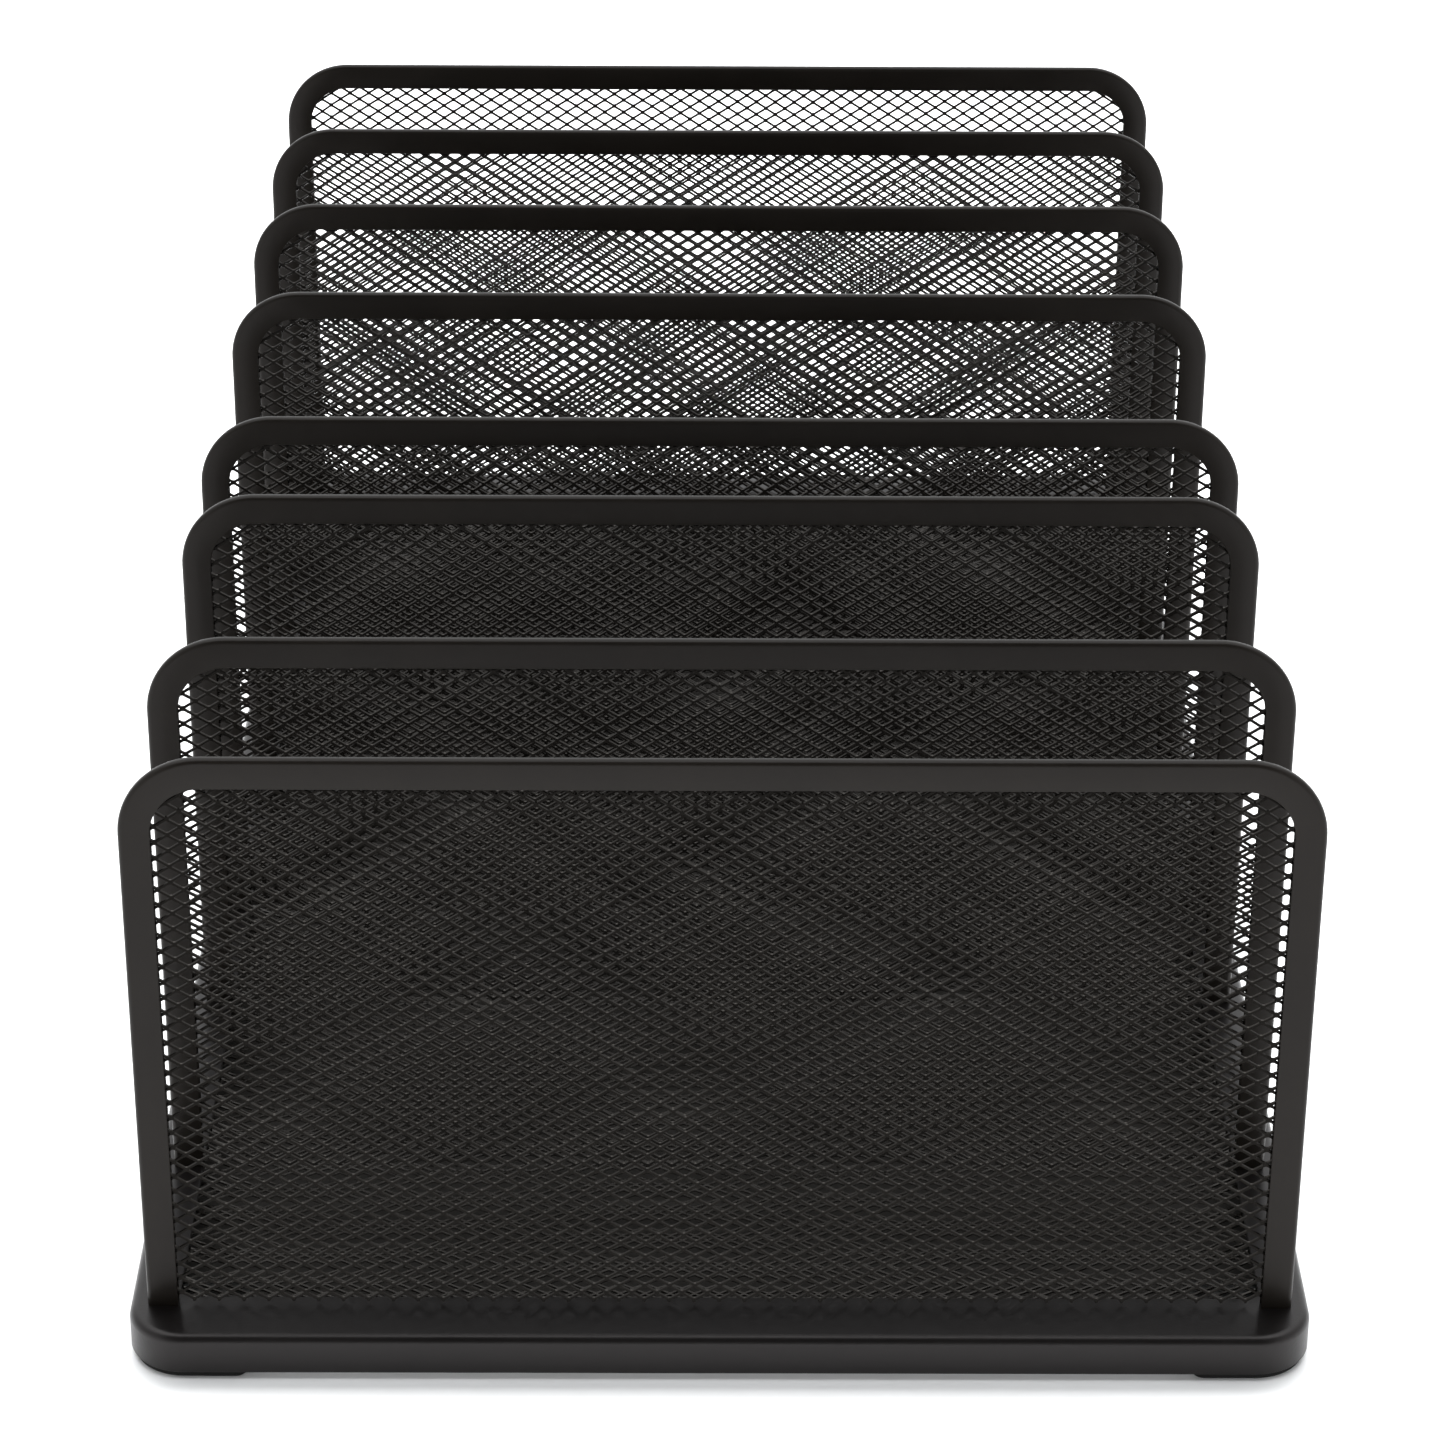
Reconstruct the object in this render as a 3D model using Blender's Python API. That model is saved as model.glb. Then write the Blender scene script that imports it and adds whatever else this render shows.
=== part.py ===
"""Desktop file sorter: a pressed steel base ring with an expanded mesh floor, and upright dividers.

Each divider is a folded steel channel bent into an arch, with a sheet of expanded mesh in its groove.
X is the sorter's width, +Y runs from its front to its rear and +Z is up. The origin is on the surface
that the feet rest on, under the middle of the base. All sizes are in metres.
"""

from math import cos, pi, radians, sin

import bmesh
import bpy
from mathutils import Vector

# Driving dimensions.
DIVIDER_WIDTH = 0.2408
DIVIDER_HEIGHT = 0.130
DIVIDER_CORNER_RADIUS = 0.017
DIVIDER_PITCHES = (0.053, 0.071, 0.043, 0.076, 0.060, 0.056, 0.052)

CHANNEL_WIDTH = 0.0065
CHANNEL_THICKNESS = 0.0026
CHANNEL_WALL = 0.0005
CHANNEL_EDGE_RADIUS = 0.0011
MESH_THICKNESS = 0.0004
FIT_GAP = 0.0003

BASE_OVERHANG_SIDE = 0.00385
BASE_OVERHANG_END = 0.0113
FLANGE_BEHIND_DIVIDER = 0.0012
BASE_CORNER_RADIUS = 0.0122
BASE_EDGE_RADIUS = 0.0020
BASE_SHEET = 0.0008
BASE_DEPTH = 0.0090
OPENING_CORNER_RADIUS = 0.0030
FLOOR_LAP = 0.0050

FOOT_SIZE = 0.0260
FOOT_DROP = 0.0015
FOOT_INSET = 0.0008
FOOT_PLUG_TOP_CLEARANCE = 0.0006
FOOT_EDGE_RADIUS = 0.0004
FOOT_INNER_CORNER_RADIUS = 0.0030
FOOT_SEGMENTS = 5

CORNER_SEGMENTS = 10
EDGE_SEGMENTS = 4
CHANNEL_EDGE_SEGMENTS = 5

# Sizes that follow from the driving ones.
DIVIDER_SPAN = sum(DIVIDER_PITCHES)
BASE_WIDTH = DIVIDER_WIDTH + 2 * BASE_OVERHANG_SIDE
BASE_LENGTH = DIVIDER_SPAN + CHANNEL_THICKNESS + 2 * BASE_OVERHANG_END
BASE_TOP = FOOT_DROP + BASE_DEPTH
FLANGE_WIDTH_SIDE = BASE_OVERHANG_SIDE + CHANNEL_WIDTH
FLANGE_WIDTH_END = BASE_OVERHANG_END + CHANNEL_THICKNESS + FLANGE_BEHIND_DIVIDER
OPENING_WIDTH = BASE_WIDTH - 2 * FLANGE_WIDTH_SIDE
OPENING_LENGTH = BASE_LENGTH - 2 * FLANGE_WIDTH_END
FLOOR_TOP = BASE_TOP - BASE_SHEET - FIT_GAP
MESH_INSET = CHANNEL_WALL + 2 * FIT_GAP


def clear_scene():
    for old in list(bpy.data.objects):
        bpy.data.objects.remove(old, do_unlink=True)


def steel_finish(name, colour, roughness, metallic=0.0):
    material = bpy.data.materials.new(name)
    material.use_nodes = True
    shader = material.node_tree.nodes["Principled BSDF"]
    shader.inputs["Base Color"].default_value = (*colour, 1.0)
    shader.inputs["Roughness"].default_value = roughness
    shader.inputs["Metallic"].default_value = metallic
    return material


def finish_object(bm, name, material):
    """Turns the bmesh into a smooth-shaded object whose faces point out."""
    bmesh.ops.recalc_face_normals(bm, faces=bm.faces)
    mesh = bpy.data.meshes.new(name)
    bm.to_mesh(mesh)
    bm.free()
    mesh.materials.append(material)
    mesh.shade_smooth()
    mesh.set_sharp_from_angle(angle=radians(40))
    thing = bpy.data.objects.new(name, mesh)
    bpy.context.scene.collection.objects.link(thing)
    return thing


def rounded_rectangle(width, length, radius, segments=CORNER_SEGMENTS):
    """Points (x, y) anticlockwise round a rectangle centred on the origin, with arcs at its corners."""
    points = []
    for quarter, (side_x, side_y) in enumerate(((1, 1), (-1, 1), (-1, -1), (1, -1))):
        centre = Vector((side_x * (width / 2 - radius), side_y * (length / 2 - radius)))
        for step in range(segments + 1):
            angle = (quarter + step / segments) * pi / 2
            points.append(centre + radius * Vector((cos(angle), sin(angle))))
    return points


def edge_loop(bm, points):
    """A closed loop of edges through the points."""
    corners = [bm.verts.new(point) for point in points]
    return [bm.edges.new((a, b)) for a, b in zip(corners, corners[1:] + corners[:1])]


def base_rim(material):
    """A flat ring with a skirt round its outer edge, rounded where they meet, in sheet of one thickness."""
    bm = bmesh.new()
    outer = [
        (*point, BASE_TOP)
        for point in rounded_rectangle(BASE_WIDTH, BASE_LENGTH, BASE_CORNER_RADIUS)
    ]
    inner = [
        (*point, BASE_TOP)
        for point in rounded_rectangle(OPENING_WIDTH, OPENING_LENGTH, OPENING_CORNER_RADIUS)
    ]
    rim_edges = edge_loop(bm, outer)
    opening_edges = edge_loop(bm, inner)
    bmesh.ops.bridge_loops(bm, edges=rim_edges + opening_edges)
    skirt = bmesh.ops.extrude_edge_only(bm, edges=rim_edges)["geom"]
    skirt_corners = [item for item in skirt if isinstance(item, bmesh.types.BMVert)]
    bmesh.ops.translate(bm, verts=skirt_corners, vec=(0, 0, -BASE_DEPTH))
    bmesh.ops.bevel(
        bm,
        geom=rim_edges,
        offset=BASE_EDGE_RADIUS,
        segments=EDGE_SEGMENTS,
        profile=0.5,
        affect="EDGES",
    )
    rim = finish_object(bm, "base_rim", material)
    sheet = rim.modifiers.new("sheet_thickness", "SOLIDIFY")
    sheet.thickness = BASE_SHEET
    sheet.offset = -1.0
    sheet.use_even_offset = True
    return rim


def plate(bm, outline, thickness_vector):
    """A flat plate: the outline as one face, extruded."""
    face = bm.faces.new([bm.verts.new(point) for point in outline])
    grown = bmesh.ops.extrude_face_region(bm, geom=[face])["geom"]
    corners = [item for item in grown if isinstance(item, bmesh.types.BMVert)]
    bmesh.ops.translate(bm, verts=corners, vec=thickness_vector)


def floor_mesh(material):
    """The floor sheet, which laps under the base ring's flange on every side."""
    outline = rounded_rectangle(
        OPENING_WIDTH + 2 * FLOOR_LAP,
        OPENING_LENGTH + 2 * FLOOR_LAP,
        OPENING_CORNER_RADIUS + FLOOR_LAP,
    )
    bm = bmesh.new()
    plate(bm, [(*point, FLOOR_TOP) for point in outline], (0, 0, -MESH_THICKNESS))
    return finish_object(bm, "floor_mesh", material)


def channel_section():
    """The folded channel's section as (inset from the arch's outer edge, offset across the divider)."""
    half = CHANNEL_THICKNESS / 2
    groove = half - CHANNEL_WALL
    radius = CHANNEL_EDGE_RADIUS
    rear_fold = []
    for step in range(CHANNEL_EDGE_SEGMENTS + 1):
        angle = pi / 2 * step / CHANNEL_EDGE_SEGMENTS
        rear_fold.append((radius - radius * cos(angle), half - radius + radius * sin(angle)))
    front_fold = [(inset, -across) for inset, across in reversed(rear_fold)]
    return [
        *front_fold,
        *rear_fold,
        (CHANNEL_WIDTH, half),
        (CHANNEL_WIDTH, groove),
        (CHANNEL_WALL, groove),
        (CHANNEL_WALL, -groove),
        (CHANNEL_WIDTH, -groove),
        (CHANNEL_WIDTH, -half),
    ]


def divider_frame(name, y, foot, material):
    """The channel, drawn up one leg, round a corner, across the top and down the other leg."""
    edge_x = DIVIDER_WIDTH / 2
    bend_x = edge_x - DIVIDER_CORNER_RADIUS
    bend_height = BASE_TOP + DIVIDER_HEIGHT - DIVIDER_CORNER_RADIUS
    bm = bmesh.new()
    section = edge_loop(
        bm, [(-edge_x + inset, y + across, foot) for inset, across in channel_section()]
    )
    first_end = list(bm.verts)

    def drawn_along(edges, step):
        grown = bmesh.ops.extrude_edge_only(bm, edges=edges)["geom"]
        corners = [item for item in grown if isinstance(item, bmesh.types.BMVert)]
        bmesh.ops.translate(bm, verts=corners, vec=step)
        return [item for item in grown if isinstance(item, bmesh.types.BMEdge)]

    def bent_about(edges, centre_x):
        corners = {corner for edge in edges for corner in edge.verts}
        turned = bmesh.ops.spin(
            bm,
            geom=[*edges, *corners],
            cent=(centre_x, y, bend_height),
            axis=(0, 1, 0),
            angle=pi / 2,
            steps=CORNER_SEGMENTS,
        )["geom_last"]
        return [item for item in turned if isinstance(item, bmesh.types.BMEdge)]

    edges = drawn_along(section, (0, 0, bend_height - foot))
    edges = bent_about(edges, -bend_x)
    edges = drawn_along(edges, (2 * bend_x, 0, 0))
    edges = bent_about(edges, bend_x)
    edges = drawn_along(edges, (0, 0, foot - bend_height))
    bm.faces.new(first_end)
    bmesh.ops.contextual_create(bm, geom=edges)
    return finish_object(bm, name, material)


def divider_mesh(name, y, foot, over_floor, material):
    """The mesh sheet in a frame's groove. Over the floor its lower edge drops between the rim's flanges."""
    edge_x = DIVIDER_WIDTH / 2 - MESH_INSET
    top = BASE_TOP + DIVIDER_HEIGHT - MESH_INSET
    radius = DIVIDER_CORNER_RADIUS - MESH_INSET
    outline = []
    for side, start in ((1, 0), (-1, 90)):
        for step in range(CORNER_SEGMENTS + 1):
            angle = radians(start + 90 * step / CORNER_SEGMENTS)
            outline.append(
                (
                    side * (edge_x - radius) + radius * cos(angle),
                    y,
                    top - radius + radius * sin(angle),
                )
            )
    outline.append((-edge_x, y, foot))
    if over_floor:
        tongue_x = OPENING_WIDTH / 2 - FIT_GAP
        tongue_z = FLOOR_TOP + FIT_GAP
        outline += [(-tongue_x, y, foot), (-tongue_x, y, tongue_z)]
        outline += [(tongue_x, y, tongue_z), (tongue_x, y, foot)]
    outline.append((edge_x, y, foot))
    bm = bmesh.new()
    front = [Vector(point) - Vector((0, MESH_THICKNESS / 2, 0)) for point in outline]
    plate(bm, front, (0, MESH_THICKNESS, 0))
    return finish_object(bm, name, material)


def foot(name, side_x, side_y, material):
    """A corner pad: a plug inside the skirt, and a wider sole under the skirt's edge."""

    def outline(inset, z):
        """A square in the base's corner, whose outer corner follows the base's own."""
        size = FOOT_SIZE - 2 * inset
        middle = Vector((BASE_WIDTH / 2 - FOOT_SIZE / 2, BASE_LENGTH / 2 - FOOT_SIZE / 2))
        corners = []
        for quarter, (x, y) in enumerate(((1, 1), (-1, 1), (-1, -1), (1, -1))):
            own = BASE_CORNER_RADIUS if (x, y) == (1, 1) else FOOT_INNER_CORNER_RADIUS
            radius = own - inset
            centre = middle + Vector((x, y)) * (size / 2 - radius)
            for step in range(FOOT_SEGMENTS + 1):
                angle = (quarter + step / FOOT_SEGMENTS) * pi / 2
                point = centre + radius * Vector((cos(angle), sin(angle)))
                corners.append((side_x * point.x, side_y * point.y, z))
        return corners

    sole_top = FOOT_DROP - FIT_GAP
    plug_top = FLOOR_TOP - MESH_THICKNESS - FOOT_PLUG_TOP_CLEARANCE
    plug_inset = BASE_SHEET + 2 * FIT_GAP
    rings = (
        (FOOT_INSET + FOOT_EDGE_RADIUS, 0.0),
        (FOOT_INSET, FOOT_EDGE_RADIUS),
        (FOOT_INSET, sole_top),
        (plug_inset, sole_top),
        (plug_inset, plug_top),
    )
    bm = bmesh.new()
    loops = [edge_loop(bm, outline(inset, z)) for inset, z in rings]
    for below, above in zip(loops, loops[1:]):
        bmesh.ops.bridge_loops(bm, edges=below + above)
    bmesh.ops.contextual_create(bm, geom=loops[0])
    bmesh.ops.contextual_create(bm, geom=loops[-1])
    return finish_object(bm, name, material)


def main():
    clear_scene()
    coated_sheet = steel_finish("coated_sheet", (0.011, 0.010, 0.010), 0.42)
    coated_channel = steel_finish("coated_channel", (0.011, 0.010, 0.010), 0.42)
    coated_mesh = steel_finish("coated_mesh", (0.010, 0.009, 0.008), 0.38)
    pad_rubber = steel_finish("pad_rubber", (0.009, 0.009, 0.008), 0.80)

    base_rim(coated_sheet)
    floor_mesh(coated_mesh)
    leg_foot = BASE_TOP + FIT_GAP
    y = -DIVIDER_SPAN / 2
    last = len(DIVIDER_PITCHES)
    for index, pitch in enumerate((0.0, *DIVIDER_PITCHES)):
        y += pitch
        divider_frame(f"divider_frame_{index + 1}", y, leg_foot, coated_channel)
        over_floor = 0 < index < last
        divider_mesh(f"divider_mesh_{index + 1}", y, leg_foot, over_floor, coated_mesh)
    for end, side_y in (("front", -1), ("rear", 1)):
        for hand, side_x in (("left", -1), ("right", 1)):
            foot(f"foot_{end}_{hand}", side_x, side_y, pad_rubber)


main()
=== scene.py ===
"""Looks of the desktop file sorter: folded channel frames, expanded mesh, pressed base ring and rubber pads.

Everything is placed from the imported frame. Lengths are in metres and named angles in degrees.
"""

from math import cos, inf, pi, radians, sin

import bpy
import numpy as np
from mathutils import Matrix, Vector


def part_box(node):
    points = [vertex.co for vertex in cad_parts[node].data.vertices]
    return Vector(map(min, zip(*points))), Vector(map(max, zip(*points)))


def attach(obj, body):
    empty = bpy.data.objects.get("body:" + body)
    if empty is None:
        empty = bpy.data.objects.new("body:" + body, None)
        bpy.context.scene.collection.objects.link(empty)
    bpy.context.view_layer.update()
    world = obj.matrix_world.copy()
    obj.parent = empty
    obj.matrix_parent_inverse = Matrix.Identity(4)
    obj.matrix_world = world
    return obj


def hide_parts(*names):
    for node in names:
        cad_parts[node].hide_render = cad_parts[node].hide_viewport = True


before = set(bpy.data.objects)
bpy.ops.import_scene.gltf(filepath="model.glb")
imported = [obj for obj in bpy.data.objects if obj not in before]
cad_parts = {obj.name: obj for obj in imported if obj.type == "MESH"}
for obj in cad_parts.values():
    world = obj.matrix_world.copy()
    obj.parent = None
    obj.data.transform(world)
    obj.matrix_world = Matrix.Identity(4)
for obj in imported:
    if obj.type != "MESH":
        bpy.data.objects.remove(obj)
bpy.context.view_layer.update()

DIVIDERS = 8
CORNER_STEPS = 24

# Base ring: one pressed sheet with a rounded top edge and a short skirt.
RING_SHEET = 0.0008
RING_CORNER_RADIUS = 0.0122
RING_EDGE_RADIUS = 0.0020
OPENING_RADIUS = 0.0030
FLOOR_LAP = 0.0050

# The dividers' channel, folded along its middle and bent into an arch. Its feet sink into the flange.
ARCH_RADIUS = 0.0170
CHANNEL_WIDTH = 0.0065
CHANNEL_WALL = 0.0005
CHANNEL_LIP_RADIUS = 0.00018
CHANNEL_FOLD_RADIUS = 0.0011
FOLD_STEPS = 8
LIP_STEPS = 3
FOOT_SINK = 0.0001
LEG_RING_HEIGHT = 0.03

# Expanded mesh: the diamonds run the long way across, and a strand is narrower on its front than on its back.
DIAMOND_LONG = 0.00526
DIAMOND_SHORT = 0.00360
STRAND_WIDTH = 0.00063
STRAND_FACE = 0.000385
BLUNT_BELOW = 0.00021
BLUNT_ABOVE = 0.00022
MESH_THICKNESS = 0.00031
STRAND_TILT = 0.000175
DIVIDER_LEAN = 1.0
FLOOR_LEAN = -0.40
NODE_POINTS = 6

# Where a sheet of mesh ends. A node's reach is how far its patch may go past its centre.
ARCH_INSET = 0.00150
WELD_GAP = 0.0003
DIVIDER_NODE_REACH = 0.00070
FLOOR_NODE_REACH = 0.00072
FLOOR_DROP = 0.0001
STRIP_JOINTS = (3, 6)
TOLERANCE = 1e-6

# Slow drifts of the lattice, which fade out towards the frames.
DRIFT_ACROSS = (0.00042, 0.00030)
DRIFT_UP = (0.00030, 0.00016)
FLOOR_DRIFT = (0.00035, 0.00030)
DRIFT_FADE = 0.010
DRIFT_MARGIN = 0.001
DRIFT_SIDE = 0.1175
FOOT_EASE = 0.020
PHASE_STEP = 2.399963

# Corner pads: a sole under the base, with a rounded edge and step, and a plug inside the skirt's corner.
PAD_SOLE = 0.0012
PAD_OUTER_INSET = 0.0008
PAD_INNER_RADIUS = 0.0025
PAD_SMALLEST_RADIUS = 0.0003
PAD_SOLE_ROUND = 0.0004
PAD_STEP_ROUND = 0.0002
PAD_PLUG_INSET = 0.0006
PAD_PLUG_ROUND = 0.0003
PAD_CAP_INSET = 0.0030
PAD_CORNER_STEPS = 12

# Finishes: base colour, tint and strength of the shine, roughness, and the grain's count per metre and depth.
FINISHES = {
    "coated_sheet": {
        "colour": (0.0054, 0.0046, 0.0044), "tint": (1.0, 0.95, 0.95), "shine": 0.32,
        "roughness": 0.33, "grain": 1300.0, "depth": 0.000022,
    },
    "coated_channel": {
        "colour": (0.0112, 0.0092, 0.0074), "tint": (1.0, 0.97, 0.965), "shine": 0.17,
        "roughness": 0.32, "grain": 1500.0, "depth": 0.000022,
    },
    "coated_mesh": {
        "colour": (0.0058, 0.0050, 0.0042), "tint": (1.0, 0.93, 0.86), "shine": 0.38,
        "roughness": 0.16, "grain": 1900.0, "depth": 0.000010,
    },
    "pad_rubber": {
        "colour": (0.0090, 0.0088, 0.0082), "tint": (1.0, 1.0, 1.0), "shine": 0.30,
        "roughness": 0.78, "grain": 2600.0, "depth": 0.000040,
    },
}
SHARP_ANGLES = {"coated_sheet": 50, "coated_channel": 50, "coated_mesh": 25, "pad_rubber": 40}

# Camera: its place from the front divider and the base's top, and its turns.
SENSOR_MM = 36.0
LENS_MM = 111.16
CAMERA_ASIDE = -0.0050
CAMERA_BACK = 0.7754
CAMERA_RISE = 0.5437
CAMERA_YAW = -0.354
CAMERA_DOWN = 27.57
CAMERA_ROLL = 0.336

# Stage: pale paper underfoot, and a black card under the base that is painted shade: it draws the floor under
# the sorter dark.
PAPER_REACH = 6.0
PAPER_COLOUR = (0.86, 0.865, 0.87)
SHADE_CARD_INSET = 0.0035
SHADE_CARD_HEIGHT = 0.0001
SHADE_CARD_CORNER_STEPS = 8
# The card's near-black colour is painted shade under the base.
PAINTED_SHADE_COLOUR = (0.035, 0.033, 0.031)

# Studio light as (angle, brightness), from the horizon behind, over the top, to the horizon in front.
WORLD_BANDS = (
    (0, 1.55), (48, 1.60), (70, 2.5), (84, 3.3), (95, 3.3),
    (107, 0.06), (148, 0.06), (164, 0.33), (180, 0.62),
)
WORLD_PEAK = 3.3
WORLD_SIDE = 1.05
WORLD_TINT = (0.98, 0.992, 1.0)

# Lamps for the floor alone, with angles counted as in WORLD_BANDS.
REAR_LAMP = {"width": 1.6, "depth": 1.0, "distance": 1.25, "degrees_up": 50, "watts": 28.0}
FRONT_LAMP = {"width": 1.6, "depth": 0.4, "distance": 3.0, "degrees_up": 170, "watts": 30.0}

# Measures read from the frame.
rim_low, rim_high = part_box("base_rim")
floor_low, floor_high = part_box("floor_mesh")
base_top = rim_high.z
base_width = rim_high.x - rim_low.x
base_length = rim_high.y - rim_low.y
opening_width = (floor_high.x - floor_low.x) - 2 * FLOOR_LAP
opening_length = (floor_high.y - floor_low.y) - 2 * FLOOR_LAP


# ---------------------------------------------------------------- finishes

def add_node(tree, kind, values=None):
    """A new shader node with these socket values."""
    node = tree.nodes.new("ShaderNode" + kind)
    for socket, value in (values or {}).items():
        node.inputs[socket].default_value = value
    return node


def coating(name, colour, tint, shine, roughness, grain, depth):
    """Satin finish: a fine orange peel, with a slow drift in gloss and tone."""
    material = bpy.data.materials.new(name)
    material.use_nodes = True
    tree = material.node_tree
    link = tree.links.new
    shader = tree.nodes["Principled BSDF"]
    shader.inputs["Specular IOR Level"].default_value = shine
    shader.inputs["Specular Tint"].default_value = (*tint, 1.0)
    place = add_node(tree, "TexCoord")

    drift = add_node(tree, "TexNoise", {"Scale": 38.0, "Detail": 5.0, "Roughness": 0.62})
    link(place.outputs["Object"], drift.inputs["Vector"])
    tone = add_node(tree, "ValToRGB")
    for stop, position, share in zip(tone.color_ramp.elements, (0.30, 0.72), (0.82, 1.20)):
        stop.position = position
        stop.color = (*[channel * share for channel in colour], 1.0)
    link(drift.outputs["Fac"], tone.inputs["Fac"])
    link(tone.outputs["Color"], shader.inputs["Base Color"])

    fine = add_node(tree, "TexNoise", {"Scale": grain, "Detail": 3.0, "Roughness": 0.55})
    link(place.outputs["Object"], fine.inputs["Vector"])
    mixed = add_node(tree, "Mix", {"Factor": 0.35})
    mixed.data_type = "FLOAT"
    link(drift.outputs["Fac"], mixed.inputs["A"])
    link(fine.outputs["Fac"], mixed.inputs["B"])
    gloss = add_node(tree, "MapRange", {
        "From Min": 0.3, "From Max": 0.7, "To Min": roughness - 0.04, "To Max": roughness + 0.06})
    link(mixed.outputs["Result"], gloss.inputs["Value"])
    link(gloss.outputs["Result"], shader.inputs["Roughness"])

    peel = add_node(tree, "Bump", {"Strength": 1.0, "Distance": depth})
    link(fine.outputs["Fac"], peel.inputs["Height"])
    link(peel.outputs["Normal"], shader.inputs["Normal"])
    return material


materials = {slot: coating(f"{slot}_finish", **finish) for slot, finish in FINISHES.items()}


# ---------------------------------------------------------------- mesh building

def to_object(name, points, quads, slot):
    """An object from arrays of points and of four-cornered faces, riding on the sorter's one body."""
    used = np.unique(quads)
    place = np.full(len(points), -1)
    place[used] = np.arange(len(used))
    quads = place[quads].astype(np.int32)
    points = np.ascontiguousarray(points[used], dtype=np.float32)
    a, b, c, d = (points[quads[:, k]] for k in range(4))
    volume = sum(np.einsum("ij,ij->i", a, np.cross(p, q)).sum() for p, q in ((b, c), (c, d)))
    if volume < 0:
        quads = np.ascontiguousarray(quads[:, ::-1])
    mesh = bpy.data.meshes.new(name)
    mesh.vertices.add(len(points))
    mesh.vertices.foreach_set("co", points.ravel())
    mesh.loops.add(quads.size)
    mesh.loops.foreach_set("vertex_index", quads.ravel())
    mesh.polygons.add(len(quads))
    mesh.polygons.foreach_set("loop_start", np.arange(0, quads.size, 4, dtype=np.int32))
    mesh.update(calc_edges=True)
    mesh.validate()
    mesh.materials.append(materials[slot])
    mesh.shade_smooth()
    mesh.set_sharp_from_angle(angle=radians(SHARP_ANGLES[slot]))
    piece = bpy.data.objects.new(name, mesh)
    bpy.context.scene.collection.objects.link(piece)
    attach(piece, "root")
    return piece


def loft(rings, closed=False):
    """Points and quads of the skin over successive rings. A closed loft joins the last ring to the first."""
    count = len(rings[0])
    points = np.array([tuple(point) for ring in rings for point in ring])
    quads = []
    for index in range(len(rings) if closed else len(rings) - 1):
        near = index * count
        far = ((index + 1) % len(rings)) * count
        for k in range(count):
            following = (k + 1) % count
            quads.append((near + k, near + following, far + following, far + k))
    return points, np.array(quads)


def loft_with_ends(rings, end):
    """A loft whose first and last rings are covered by the quads in end, which index one ring's points."""
    points, quads = loft(rings)
    return points, np.concatenate([quads, end[:, ::-1], end + (len(rings) - 1) * len(rings[0])])


def convex_end(count):
    """Quads over a convex ring of this many points, in a strip between its two halves."""
    return np.array([(k, k + 1, count - 2 - k, count - 1 - k) for k in range(count // 2 - 1)])


QUARTERS = ((1, 1), (-1, 1), (-1, -1), (1, -1))


def rounded_rectangle(width, length, radii, steps=CORNER_STEPS):
    """Points (x, y) anticlockwise round a rectangle centred on the origin, with a radius for each quarter."""
    points = []
    for quarter, ((side_x, side_y), radius) in enumerate(zip(QUARTERS, radii)):
        for step in range(steps + 1):
            angle = (quarter + step / steps) * pi / 2
            points.append((side_x * (width / 2 - radius) + radius * cos(angle),
                           side_y * (length / 2 - radius) + radius * sin(angle)))
    return points


def arc(centre, radius, start, end, steps):
    """Points along an arc, ends included."""
    angles = [radians(start + (end - start) * k / steps) for k in range(steps + 1)]
    return [(centre[0] + radius * cos(angle), centre[1] + radius * sin(angle)) for angle in angles]


# ---------------------------------------------------------------- base ring

def level_ring(width, length, radius, z):
    return [(x, y, z) for x, y in rounded_rectangle(width, length, [radius] * 4)]


def outer_rings(section):
    """Rings round the base from points (inset from the outer face, height)."""
    return [level_ring(base_width - 2 * inset, base_length - 2 * inset, RING_CORNER_RADIUS - inset, z)
            for inset, z in section]


def base_ring():
    """The section swept round the base: up the outside, round the opening's edge and down the inside."""
    lip = RING_SHEET / 2
    lip_centre = (lip, rim_low.z + lip)
    edge_centre = (RING_EDGE_RADIUS, base_top - RING_EDGE_RADIUS)
    outside = arc(lip_centre, lip, 270, 180, 4) + arc(edge_centre, RING_EDGE_RADIUS, 180, 90, 12)
    opening = arc((0.0, base_top - lip), lip, 90, -90, 6)
    inside = arc(edge_centre, RING_EDGE_RADIUS - RING_SHEET, 90, 180, 8)
    inside += arc(lip_centre, lip, 0, -90, 4)[:-1]
    rings = outer_rings(outside)
    for back, z in opening:
        grow = lip - back
        sides = (opening_width + 2 * grow, opening_length + 2 * grow)
        rings.append(level_ring(*sides, OPENING_RADIUS + grow, z))
    rings += outer_rings(inside)
    points, quads = loft(rings, closed=True)
    piece = to_object("base_ring", points, quads, "coated_sheet")
    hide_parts("base_rim")


base_ring()


# ---------------------------------------------------------------- frames

def channel_section(half):
    """The folded channel's section, as (inset from the arch's outer edge, offset across).

    half is half of the channel's thickness. The points run round one wall, then, mirrored, round the other.
    """
    fold = CHANNEL_FOLD_RADIUS
    lip = CHANNEL_LIP_RADIUS
    groove = half - CHANNEL_WALL
    near = arc((fold, half - fold), fold, 180, 90, FOLD_STEPS)
    near += arc((CHANNEL_WIDTH - lip, half - lip), lip, 90, 0, LIP_STEPS)
    near += arc((CHANNEL_WIDTH - lip, groove + lip), lip, 0, -90, LIP_STEPS)
    near += [(CHANNEL_WALL, groove)]
    far = [(inset, -across) for inset, across in reversed(near)]
    return near + far


def channel_end(count):
    """Quads over a section of this many points: a fan at each fold, a ladder down each wall, and the web."""
    inner = count // 2 - 1
    near = [(inner, k, k + 1, k + 2) for k in range(0, FOLD_STEPS, 2)]
    near += [(inner - k, FOLD_STEPS + k, FOLD_STEPS + k + 1, inner - k - 1) for k in range(LIP_STEPS + 1)]
    far = [tuple(count - 1 - k for k in reversed(face)) for face in near]
    return np.array([*near, *far, (count - 1, 0, inner, inner + 1)])


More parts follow.
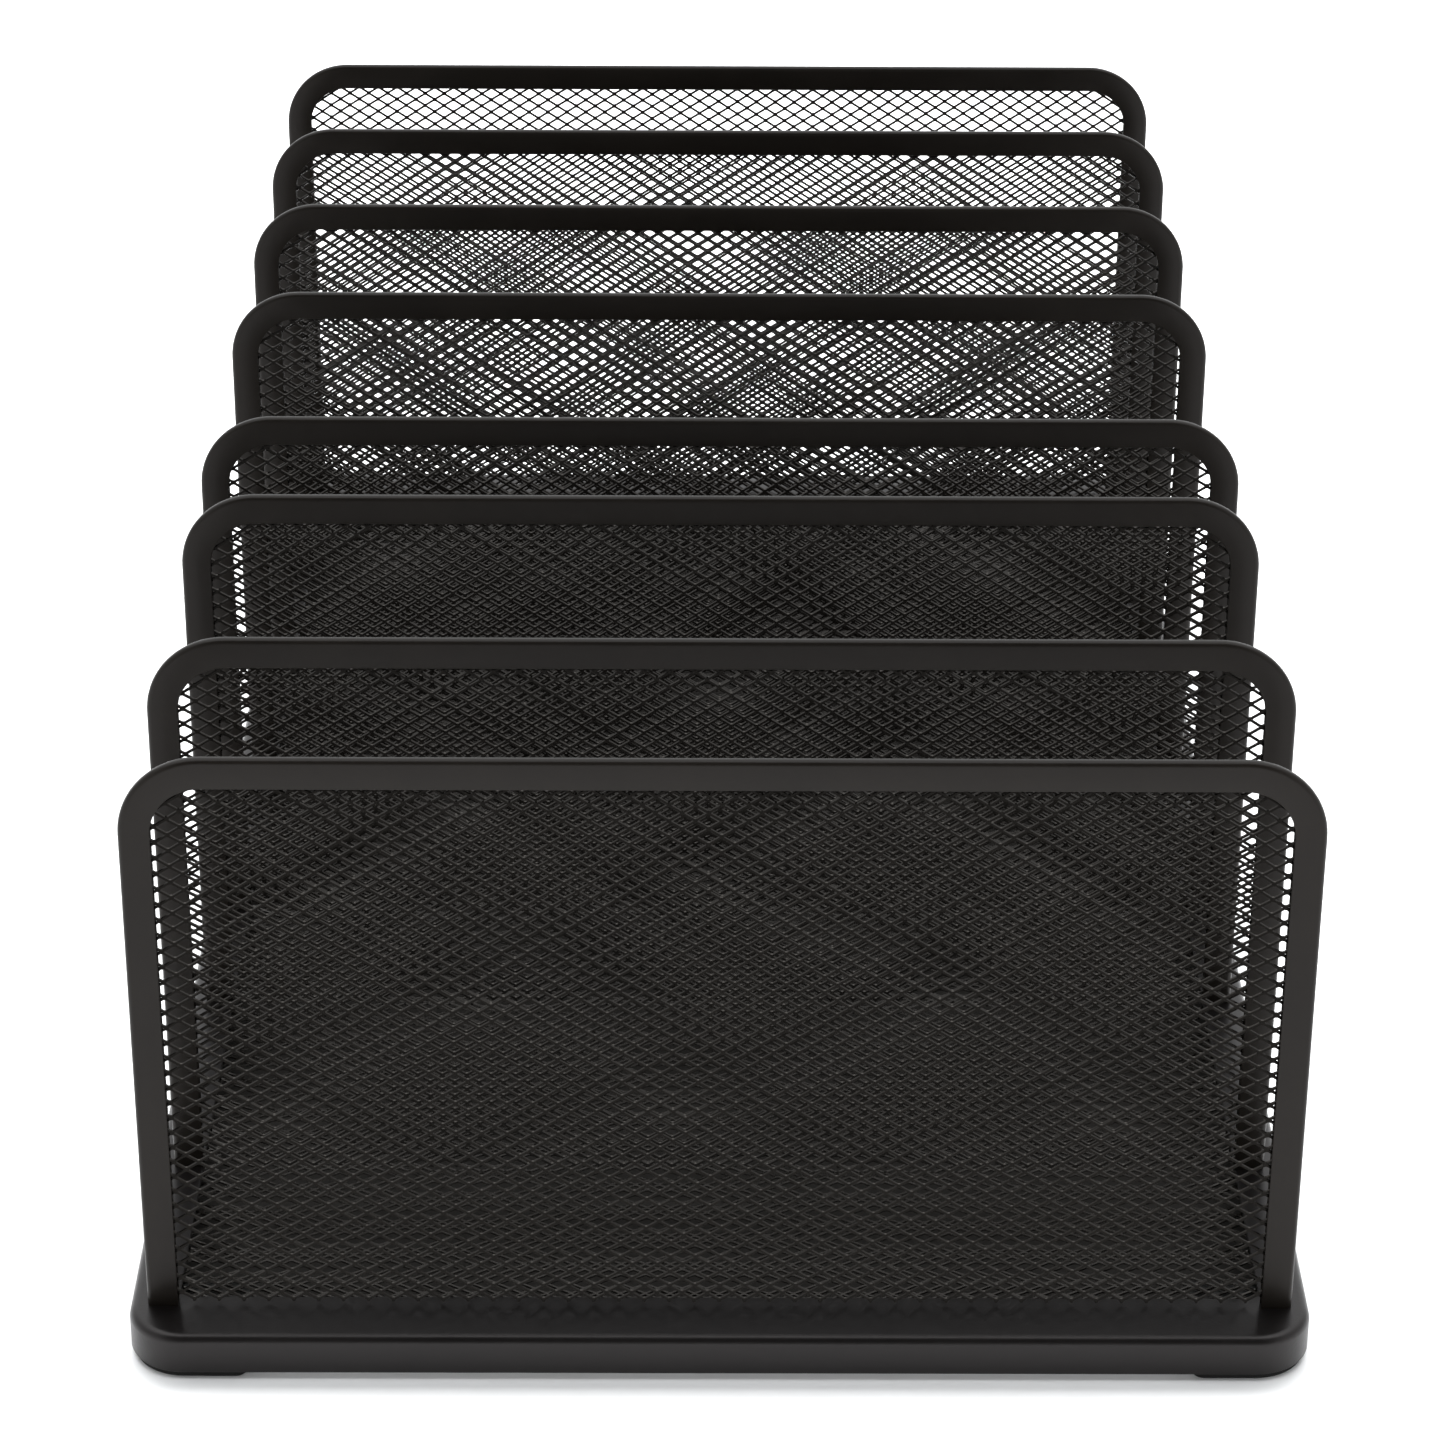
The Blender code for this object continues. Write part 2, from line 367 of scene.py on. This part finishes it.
def channel_frame(index):
    """One arch: its path of ((x, z), inward direction) goes up the left leg and the bend, and is mirrored."""
    low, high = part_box(f"divider_frame_{index}")
    centre = (low.y + high.y) / 2
    section = channel_section((high.y - low.y) / 2)
    path = [((low.x, base_top + rise), (1.0, 0.0)) for rise in (-FOOT_SINK, LEG_RING_HEIGHT)]
    bend = (low.x + ARCH_RADIUS, high.z - ARCH_RADIUS)
    for k in range(CORNER_STEPS + 1):
        angle = pi - pi / 2 * k / CORNER_STEPS
        out = (cos(angle), sin(angle))
        station = (bend[0] + ARCH_RADIUS * out[0], bend[1] + ARCH_RADIUS * out[1])
        path.append((station, (-out[0], -out[1])))
    path += [((-x, z), (-u, w)) for (x, z), (u, w) in reversed(path)]
    rings = [[(x + u * inset, centre + across, z + w * inset) for inset, across in section]
             for (x, z), (u, w) in path]
    points, quads = loft_with_ends(rings, channel_end(len(section)))
    piece = to_object(f"channel_frame_{index}", points, quads, "coated_channel")
    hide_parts(f"divider_frame_{index}")


for index in range(1, DIVIDERS + 1):
    channel_frame(index)


# ---------------------------------------------------------------- expanded mesh

def node_corners(width):
    """The six corners of the patch where four strands of this width meet, anticlockwise from its left tip."""
    half_long, half_short = DIAMOND_LONG / 2, DIAMOND_SHORT / 2
    reach = half_long * half_short / np.hypot(half_long, half_short)
    open_share = 1 - width / 2 / reach
    tip = half_long * (1 - open_share)
    below = half_short * (1 - open_share + BLUNT_BELOW / half_long)
    above = half_short * (1 - open_share + BLUNT_ABOVE / half_long)
    return np.array([(-tip, 0), (-BLUNT_BELOW, -below), (BLUNT_BELOW, -below),
                     (tip, 0), (BLUNT_ABOVE, above), (-BLUNT_ABOVE, above)])


def front_faces(number):
    """Quads of a sheet's front: two for each node and one for each strand.

    number holds each lattice place's node number, or -1 where there is no node.
    """
    nodes = np.arange(number.max() + 1) * NODE_POINTS
    faces = [np.stack([nodes + k for k in patch], 1) for patch in ((0, 1, 2, 3), (3, 4, 5, 0))]
    strands = (
        (number[:-1, :-1], number[1:, 1:], (3, 1, 0, 4)),
        (number[1:, :-1], number[:-1, 1:], (5, 3, 2, 0)),
    )
    for lower, upper, (a, b, c, d) in strands:
        both = (lower >= 0) & (upper >= 0)
        n, m = lower[both] * NODE_POINTS, upper[both] * NODE_POINTS
        faces.append(np.stack([n + a, m + b, m + c, n + d], 1))
    return np.concatenate(faces)


def expanded_mesh(name, inside, first, up, facing, origin, drift, lean):
    """A sheet of expanded mesh over the lattice places that inside(u, v) accepts, in rows from v = first up.

    u runs along X and v along up. The strands' narrow faces look along facing, and lean times STRAND_TILT
    tips each one. drift(u, v) gives how far a point is moved along each.
    """
    half_long, half_short = DIAMOND_LONG / 2, DIAMOND_SHORT / 2
    columns = int(base_width / 2 / half_long) + 1
    rows = int(base_length / half_short) + 1
    i, j = np.meshgrid(np.arange(-columns, columns + 1), np.arange(0, rows + 1), indexing="ij")
    u, v = i * half_long, first + j * half_short
    valid = ((i + j) % 2 == 0) & inside(u, v)
    number = np.full(valid.shape, -1)
    number[valid] = np.arange(valid.sum())
    centres = np.stack([u[valid], v[valid]], axis=1)

    # The back is the front turned over, and walls join the two along every open edge.
    front = front_faces(number)
    size = NODE_POINTS * len(centres)
    starts = front.ravel()
    ends = np.roll(front, -1, axis=1).ravel()
    open_edges = ~np.isin(starts * size + ends, ends * size + starts)
    p, q = starts[open_edges], ends[open_edges]
    quads = np.concatenate([front, front[:, ::-1] + size, np.stack([q, p, p + size, q + size], 1)])

    tilt = np.array([0, 1, 1, 0, -1, -1]) * lean * STRAND_TILT
    points = []
    for width, side in ((STRAND_FACE, 1), (STRAND_WIDTH, -1)):
        flat = centres[:, None, :] + node_corners(width)[None, :, :]
        lift = np.broadcast_to(tilt + side * MESH_THICKNESS / 2, flat.shape[:2])
        du, dv = drift(flat[..., 0], flat[..., 1])
        place = (flat[..., 0] + du)[..., None] * np.array((1.0, 0, 0))
        place = place + (flat[..., 1] + dv)[..., None] * np.array(up)
        place = place + lift[..., None] * np.array(facing) + np.array(origin)
        points.append(place.reshape(-1, 3))
    return to_object(name, np.concatenate(points), quads, "coated_mesh")


def fading(room):
    """The share of the drift that is left with this much room before an edge."""
    return np.clip(room / DRIFT_FADE, 0, 1)


def inside_arch(foot):
    """Test for points (x, z) far enough inside a divider's arch, and above its foot."""
    low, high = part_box("divider_frame_1")
    half_width, top = high.x - ARCH_INSET, high.z - ARCH_INSET
    radius = ARCH_RADIUS - ARCH_INSET

    def test(x, z):
        dx = np.maximum(np.abs(x) - (half_width - radius), 0)
        dz = np.maximum(z - (top - radius), 0)
        within = (np.abs(x) <= half_width) & (z <= top) & (dx * dx + dz * dz <= radius * radius)
        return within & (z >= foot(x))
    return test


def divider_mesh(index):
    """A divider's sheet. The first and last stand on the ring's flange, and the others on the floor mesh."""
    low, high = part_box(f"divider_mesh_{index}")
    centre = (low.y + high.y) / 2
    over_floor = low.z < base_top
    flange_foot = base_top + WELD_GAP + DIVIDER_NODE_REACH
    floor_foot = floor_high.z + WELD_GAP + DIVIDER_NODE_REACH
    phase = PHASE_STEP * index

    def foot(x):
        over_opening = over_floor & (np.abs(x) < opening_width / 2 - DIVIDER_NODE_REACH)
        return np.where(over_opening, floor_foot, flange_foot) - TOLERANCE

    def drift(x, z):
        du = DRIFT_ACROSS[0] * np.sin(x * 27 + phase) * np.cos(z * 31 + 1.7 * phase)
        du = du + DRIFT_ACROSS[1] * np.sin(z * 52 + x * 18 + 2.3 * phase)
        dv = DRIFT_UP[0] * np.sin(x * 36 + 1.3 * phase + 1.0) * np.cos(z * 22 - phase)
        dv = dv + DRIFT_UP[1] * np.sin(x * 71 + 3.1 * phase)
        fade = fading(DRIFT_SIDE - np.abs(x)) * fading(high.z - DRIFT_MARGIN - z)
        return du * fade, dv * fade * np.clip((z - flange_foot) / FOOT_EASE, 0, 1)

    piece = expanded_mesh(
        f"expanded_mesh_{index}", inside_arch(foot), floor_foot if over_floor else flange_foot,
        (0, 0, 1.0), (0, -1.0, 0), (0, centre, 0), drift, DIVIDER_LEAN)
    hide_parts(f"divider_mesh_{index}")


def floor_strip(name, lowest, highest):
    """The floor's mesh between two rows of nodes."""
    first = floor_low.y + FLOOR_NODE_REACH
    middle = (floor_low.z + floor_high.z) / 2

    def inside(x, y):
        row = np.round((y - first) / (DIAMOND_SHORT / 2))
        across = np.abs(x) <= floor_high.x - FLOOR_NODE_REACH
        along = np.abs(y) <= floor_high.y - FLOOR_NODE_REACH
        return across & along & (row >= lowest) & (row <= highest)

    def drift(x, y):
        du = FLOOR_DRIFT[0] * np.sin(x * 24 + 0.6) * np.cos(y * 19 + 0.4)
        dv = FLOOR_DRIFT[1] * np.sin(x * 33 + 1.9) * np.cos(y * 15 + 2.2)
        fade = fading(floor_high.x - DRIFT_MARGIN - np.abs(x))
        fade = fade * fading(floor_high.y - DRIFT_MARGIN - np.abs(y))
        return du * fade, dv * fade

    piece = expanded_mesh(
        name, inside, first, (0, 1.0, 0), (0, 0, 1.0), (0, 0, middle - FLOOR_DROP), drift, FLOOR_LEAN)
    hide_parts("floor_mesh")


def joint_row(index):
    """The row of the floor's nodes that lies nearest under this divider."""
    low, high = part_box(f"divider_frame_{index}")
    return round(((low.y + high.y) / 2 - (floor_low.y + FLOOR_NODE_REACH)) / (DIAMOND_SHORT / 2))


for index in range(1, DIVIDERS + 1):
    divider_mesh(index)

front_joint, rear_joint = (joint_row(index) for index in STRIP_JOINTS)
floor_strip("floor_mesh_front", -inf, front_joint)
floor_strip("floor_mesh_middle", front_joint, rear_joint)
floor_strip("floor_mesh_rear", rear_joint, inf)


# ---------------------------------------------------------------- corner pads

def corner_pad(end, hand, corner):
    """A pad with one big radius, at the base's own corner, and small ones at the other three."""
    low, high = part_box(f"foot_{end}_{hand}")
    size = high.x - low.x
    middle = ((low.x + high.x) / 2, (low.y + high.y) / 2)
    height = high.z - low.z
    own_radii = [PAD_INNER_RADIUS] * 4
    own_radii[QUARTERS.index(corner)] = RING_CORNER_RADIUS - PAD_OUTER_INSET
    plug_edge = (PAD_PLUG_INSET + PAD_PLUG_ROUND, height - PAD_PLUG_ROUND)
    section = [(PAD_CAP_INSET, 0.0)]
    section += arc((PAD_SOLE_ROUND, PAD_SOLE_ROUND), PAD_SOLE_ROUND, 270, 180, 4)
    section += arc((PAD_STEP_ROUND, PAD_SOLE - PAD_STEP_ROUND), PAD_STEP_ROUND, 180, 90, 3)
    section += [(PAD_PLUG_INSET, PAD_SOLE)]
    section += arc(plug_edge, PAD_PLUG_ROUND, 180, 90, 3)
    section += [(PAD_CAP_INSET, height)]
    rings = []
    for inset, z in section:
        radii = [max(radius - inset, PAD_SMALLEST_RADIUS) for radius in own_radii]
        outline = rounded_rectangle(size - 2 * inset, size - 2 * inset, radii, PAD_CORNER_STEPS)
        rings.append([(middle[0] + x, middle[1] + y, low.z + z) for x, y in outline])
    points, quads = loft_with_ends(rings, convex_end(len(rings[0])))
    piece = to_object(f"corner_pad_{end}_{hand}", points, quads, "pad_rubber")
    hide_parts(f"foot_{end}_{hand}")


for end, side_y in (("front", -1), ("rear", 1)):
    for hand, side_x in (("left", -1), ("right", 1)):
        corner_pad(end, hand, (side_x, side_y))


# ---------------------------------------------------------------- camera

def photo_camera():
    camera_data = bpy.data.cameras.new("camera")
    camera_data.sensor_width = SENSOR_MM
    camera_data.lens = LENS_MM
    camera_data.clip_start = 0.01
    camera_data.clip_end = 50.0
    camera = bpy.data.objects.new("camera", camera_data)
    bpy.context.scene.collection.objects.link(camera)
    front_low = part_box("divider_frame_1")[0]
    eye = Vector((CAMERA_ASIDE, front_low.y - CAMERA_BACK, base_top + CAMERA_RISE))
    camera.matrix_world = (
        Matrix.Translation(eye)
        @ Matrix.Rotation(radians(CAMERA_YAW), 4, "Z")
        @ Matrix.Rotation(radians(90 - CAMERA_DOWN), 4, "X")
        @ Matrix.Rotation(radians(CAMERA_ROLL), 4, "Z"))
    bpy.context.scene.camera = camera
    bpy.context.scene.view_settings.view_transform = "Standard"


photo_camera()


# ---------------------------------------------------------------- stage

def plain_finish(name, colour, roughness, shine):
    material = bpy.data.materials.new(name)
    material.use_nodes = True
    shader = material.node_tree.nodes["Principled BSDF"]
    shader.inputs["Base Color"].default_value = (*colour, 1.0)
    shader.inputs["Roughness"].default_value = roughness
    shader.inputs["Specular IOR Level"].default_value = shine
    return material


def stage_sheet(name, outline, height, material):
    """A flat sheet on the stage, as one face."""
    mesh = bpy.data.meshes.new(name)
    mesh.from_pydata([(x, y, height) for x, y in outline], [], [tuple(range(len(outline)))])
    mesh.materials.append(material)
    sheet = bpy.data.objects.new(name, mesh)
    bpy.context.scene.collection.objects.link(sheet)
    return sheet


paper_outline = [(side_x * PAPER_REACH, side_y * PAPER_REACH) for side_x, side_y in QUARTERS]
paper = plain_finish("studio_paper", PAPER_COLOUR, 0.9, 0.1)
studio_floor = stage_sheet("studio_floor", paper_outline, 0.0, paper)

# The black card is painted shade: it darkens the floor seen under the sorter and through its mesh.
shade_card_sides = (base_width - 2 * SHADE_CARD_INSET, base_length - 2 * SHADE_CARD_INSET)
shade_card_outline = rounded_rectangle(*shade_card_sides, [RING_CORNER_RADIUS - SHADE_CARD_INSET] * 4, SHADE_CARD_CORNER_STEPS)
stage_sheet("painted_shade_card", shade_card_outline, SHADE_CARD_HEIGHT, plain_finish("painted_shade_card_finish", PAINTED_SHADE_COLOUR, 1.0, 0.0))


# ---------------------------------------------------------------- light

def colour_sockets(sockets):
    return [socket for socket in sockets if socket.type == "RGBA"]


def studio_world():
    """Soft boxes as bands of brightness: one behind, one overhead, a dark gap, then a dim room in front."""
    world = bpy.data.worlds.new("studio")
    bpy.context.scene.world = world
    world.use_nodes = True
    tree = world.node_tree
    link = tree.links.new
    background = tree.nodes["Background"]
    place = add_node(tree, "TexCoord")
    axes = add_node(tree, "SeparateXYZ")
    link(place.outputs["Generated"], axes.inputs["Vector"])

    turn = add_node(tree, "Math")
    turn.operation = "ARCTAN2"
    link(axes.outputs["Z"], turn.inputs[0])
    link(axes.outputs["Y"], turn.inputs[1])
    share = add_node(tree, "Math", {1: pi})
    share.operation = "DIVIDE"
    link(turn.outputs["Value"], share.inputs[0])
    bands = add_node(tree, "ValToRGB")
    bands.color_ramp.interpolation = "EASE"
    stops = bands.color_ramp.elements
    for spot, (degrees_up, _) in enumerate(WORLD_BANDS):
        stop = stops[spot] if spot < 2 else stops.new(degrees_up / 180)
        stop.position = degrees_up / 180
    for stop, (_, level) in zip(sorted(stops, key=lambda each: each.position), WORLD_BANDS):
        grey = level / WORLD_PEAK
        stop.color = (grey, grey, grey, 1.0)
    link(share.outputs["Value"], bands.inputs["Fac"])

    aside = add_node(tree, "Math")
    aside.operation = "ABSOLUTE"
    link(axes.outputs["X"], aside.inputs[0])
    sides = add_node(tree, "MapRange", {"From Min": 0.40, "From Max": 0.80})
    sides.interpolation_type = "SMOOTHSTEP"
    link(aside.outputs["Value"], sides.inputs["Value"])
    blend = add_node(tree, "Mix")
    blend.data_type = "RGBA"
    middle_colour, side_colour = colour_sockets(blend.inputs)
    side = WORLD_SIDE / WORLD_PEAK
    link(bands.outputs["Color"], middle_colour)
    side_colour.default_value = (side, side, side, 1.0)
    link(sides.outputs["Result"], blend.inputs["Factor"])
    tint = add_node(tree, "VectorMath", {1: WORLD_TINT})
    tint.operation = "MULTIPLY"
    link(colour_sockets(blend.outputs)[0], tint.inputs[0])
    link(tint.outputs["Vector"], background.inputs["Color"])
    background.inputs["Strength"].default_value = WORLD_PEAK


studio_world()


def light_group(name, members):
    group = bpy.data.collections.new(name)
    for member in members:
        group.objects.link(member)
    return group


def floor_lamp(name, width, depth, distance, degrees_up, watts):
    """A large soft lamp aimed at the base's front edge, which lights only the floor.

    Only the base ring, its pads and the painted-shade card under it shade the floor from this lamp.
    """
    lamp = bpy.data.lights.new(name, "AREA")
    lamp.shape = "RECTANGLE"
    lamp.size = width
    lamp.size_y = depth
    lamp.energy = watts
    holder = bpy.data.objects.new(name, lamp)
    bpy.context.scene.collection.objects.link(holder)
    target = Vector((0.0, rim_low.y, 0.0))
    rise = radians(degrees_up)
    holder.location = target + distance * Vector((0.0, cos(rise), sin(rise)))
    holder.rotation_euler = (target - holder.location).to_track_quat("-Z", "Y").to_euler()
    pads = [f"corner_pad_{end}_{hand}" for end in ("front", "rear") for hand in ("left", "right")]
    shades = [bpy.data.objects[shade] for shade in ("base_ring", "painted_shade_card", *pads)]
    holder.light_linking.receiver_collection = light_group(name + "_receivers", [studio_floor])
    holder.light_linking.blocker_collection = light_group(name + "_blockers", shades)


floor_lamp("rear_floor_lamp", **REAR_LAMP)
floor_lamp("front_floor_lamp", **FRONT_LAMP)
